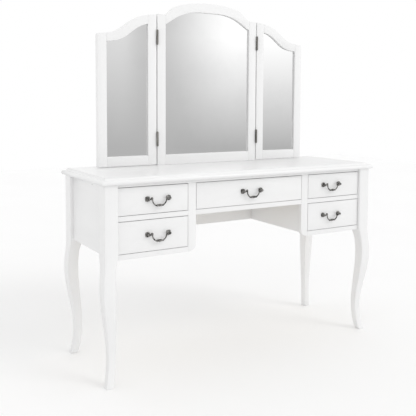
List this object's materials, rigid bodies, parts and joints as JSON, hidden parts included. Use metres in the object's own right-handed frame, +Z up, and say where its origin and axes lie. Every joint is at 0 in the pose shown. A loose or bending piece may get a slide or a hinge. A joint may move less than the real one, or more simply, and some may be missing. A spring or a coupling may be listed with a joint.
{
  "type": "miniature dressing table",
  "caption": "Kneehole dressing table miniature with cabriole legs, sliding drawers, swinging bail handles and a three-part mirror whose hinged wings fold forward.",
  "frame": {"origin": "on the floor, under the centre of the table's bounding box", "axes": "+X to the right seen from the front, +Y to the back, +Z up"},
  "size_m": [0.105, 0.0366, 0.119],
  "materials": {
    "white_paint": "satin white lacquer on wood",
    "bare_wood": "bare fine-grained wood",
    "backing_board": "hardboard",
    "mirror": "silvered glass",
    "antique_nickel": "antique nickel plating, polished on the high spots",
    "hinge_steel": "brushed steel"
  },
  "bodies": {
    "table": {"top": "white_paint", "leg_front_left": "white_paint", "leg_front_right": "white_paint", "leg_back_left": "white_paint", "leg_back_right": "white_paint", "end_panels": "white_paint", "back_panel": "white_paint", "inner_sides": "white_paint", "stiles": "white_paint", "top_rail": "white_paint", "centre_rail": "white_paint", "pedestal_rails": "white_paint", "pedestal_floors": "bare_wood", "drawer_runners": "bare_wood", "mirror_stiles": "white_paint", "mirror_bottom_rail": "white_paint", "mirror_top_rail": "white_paint", "mirror_glass": "mirror", "mirror_backing": "backing_board", "mirror_stays": "white_paint", "stay_screws": "hinge_steel", "hinge_leaves_fixed": "hinge_steel", "hinge_pins": "hinge_steel"},
    "wing_left": {"wing_left_stiles": "white_paint", "wing_left_bottom_rail": "white_paint", "wing_left_top_rail": "white_paint", "wing_left_glass": "mirror", "wing_left_backing": "backing_board", "wing_left_hinge_leaves": "hinge_steel"},
    "wing_right": {"wing_right_stiles": "white_paint", "wing_right_bottom_rail": "white_paint", "wing_right_top_rail": "white_paint", "wing_right_glass": "mirror", "wing_right_backing": "backing_board", "wing_right_hinge_leaves": "hinge_steel"},
    "drawer_left_upper": {"drawer_left_upper_front": "white_paint", "drawer_left_upper_walls": "bare_wood", "drawer_left_upper_bottom": "bare_wood", "drawer_left_upper_handle_posts": "antique_nickel"},
    "bail_left_upper": {"drawer_left_upper_bail": "antique_nickel"},
    "drawer_left_lower": {"drawer_left_lower_front": "white_paint", "drawer_left_lower_walls": "bare_wood", "drawer_left_lower_bottom": "bare_wood", "drawer_left_lower_handle_posts": "antique_nickel"},
    "bail_left_lower": {"drawer_left_lower_bail": "antique_nickel"},
    "drawer_centre": {"drawer_centre_front": "white_paint", "drawer_centre_walls": "bare_wood", "drawer_centre_bottom": "bare_wood", "drawer_centre_handle_posts": "antique_nickel"},
    "bail_centre": {"drawer_centre_bail": "antique_nickel"},
    "drawer_right_upper": {"drawer_right_upper_front": "white_paint", "drawer_right_upper_walls": "bare_wood", "drawer_right_upper_bottom": "bare_wood", "drawer_right_upper_handle_posts": "antique_nickel"},
    "bail_right_upper": {"drawer_right_upper_bail": "antique_nickel"},
    "drawer_right_lower": {"drawer_right_lower_front": "white_paint", "drawer_right_lower_walls": "bare_wood", "drawer_right_lower_bottom": "bare_wood", "drawer_right_lower_handle_posts": "antique_nickel"},
    "bail_right_lower": {"drawer_right_lower_bail": "antique_nickel"}
  },
  "joints": [
    {"name": "wing_left_hinge", "type": "hinge", "parent": "table", "child": "wing_left", "pos_m": [-0.02075, 0.0108, 0.0886], "axis": [0, 0, 1], "range_deg": [0, 100]},
    {"name": "wing_right_hinge", "type": "hinge", "parent": "table", "child": "wing_right", "pos_m": [0.02075, 0.0108, 0.0886], "axis": [0, 0, -1], "range_deg": [0, 100]},
    {"name": "drawer_left_upper_slide", "type": "slide", "parent": "table", "child": "drawer_left_upper", "axis": [0, -1, 0], "range_m": [0, 0.019]},
    {"name": "bail_left_upper_hinge", "type": "hinge", "parent": "drawer_left_upper", "child": "bail_left_upper", "pos_m": [-0.03405, -0.0174, 0.05515], "axis": [-1, 0, 0], "range_deg": [-18, 95]},
    {"name": "drawer_left_lower_slide", "type": "slide", "parent": "table", "child": "drawer_left_lower", "axis": [0, -1, 0], "range_m": [0, 0.019]},
    {"name": "bail_left_lower_hinge", "type": "hinge", "parent": "drawer_left_lower", "child": "bail_left_lower", "pos_m": [-0.03405, -0.0174, 0.04448], "axis": [-1, 0, 0], "range_deg": [-18, 95]},
    {"name": "drawer_centre_slide", "type": "slide", "parent": "table", "child": "drawer_centre", "axis": [0, -1, 0], "range_m": [0, 0.019]},
    {"name": "bail_centre_hinge", "type": "hinge", "parent": "drawer_centre", "child": "bail_centre", "pos_m": [0, -0.0174, 0.05515], "axis": [-1, 0, 0], "range_deg": [-18, 95]},
    {"name": "drawer_right_upper_slide", "type": "slide", "parent": "table", "child": "drawer_right_upper", "axis": [0, -1, 0], "range_m": [0, 0.019]},
    {"name": "bail_right_upper_hinge", "type": "hinge", "parent": "drawer_right_upper", "child": "bail_right_upper", "pos_m": [0.03405, -0.0174, 0.05515], "axis": [-1, 0, 0], "range_deg": [-18, 95]},
    {"name": "drawer_right_lower_slide", "type": "slide", "parent": "table", "child": "drawer_right_lower", "axis": [0, -1, 0], "range_m": [0, 0.019]},
    {"name": "bail_right_lower_hinge", "type": "hinge", "parent": "drawer_right_lower", "child": "bail_right_lower", "pos_m": [0.03405, -0.0174, 0.04448], "axis": [-1, 0, 0], "range_deg": [-18, 95]}
  ]
}
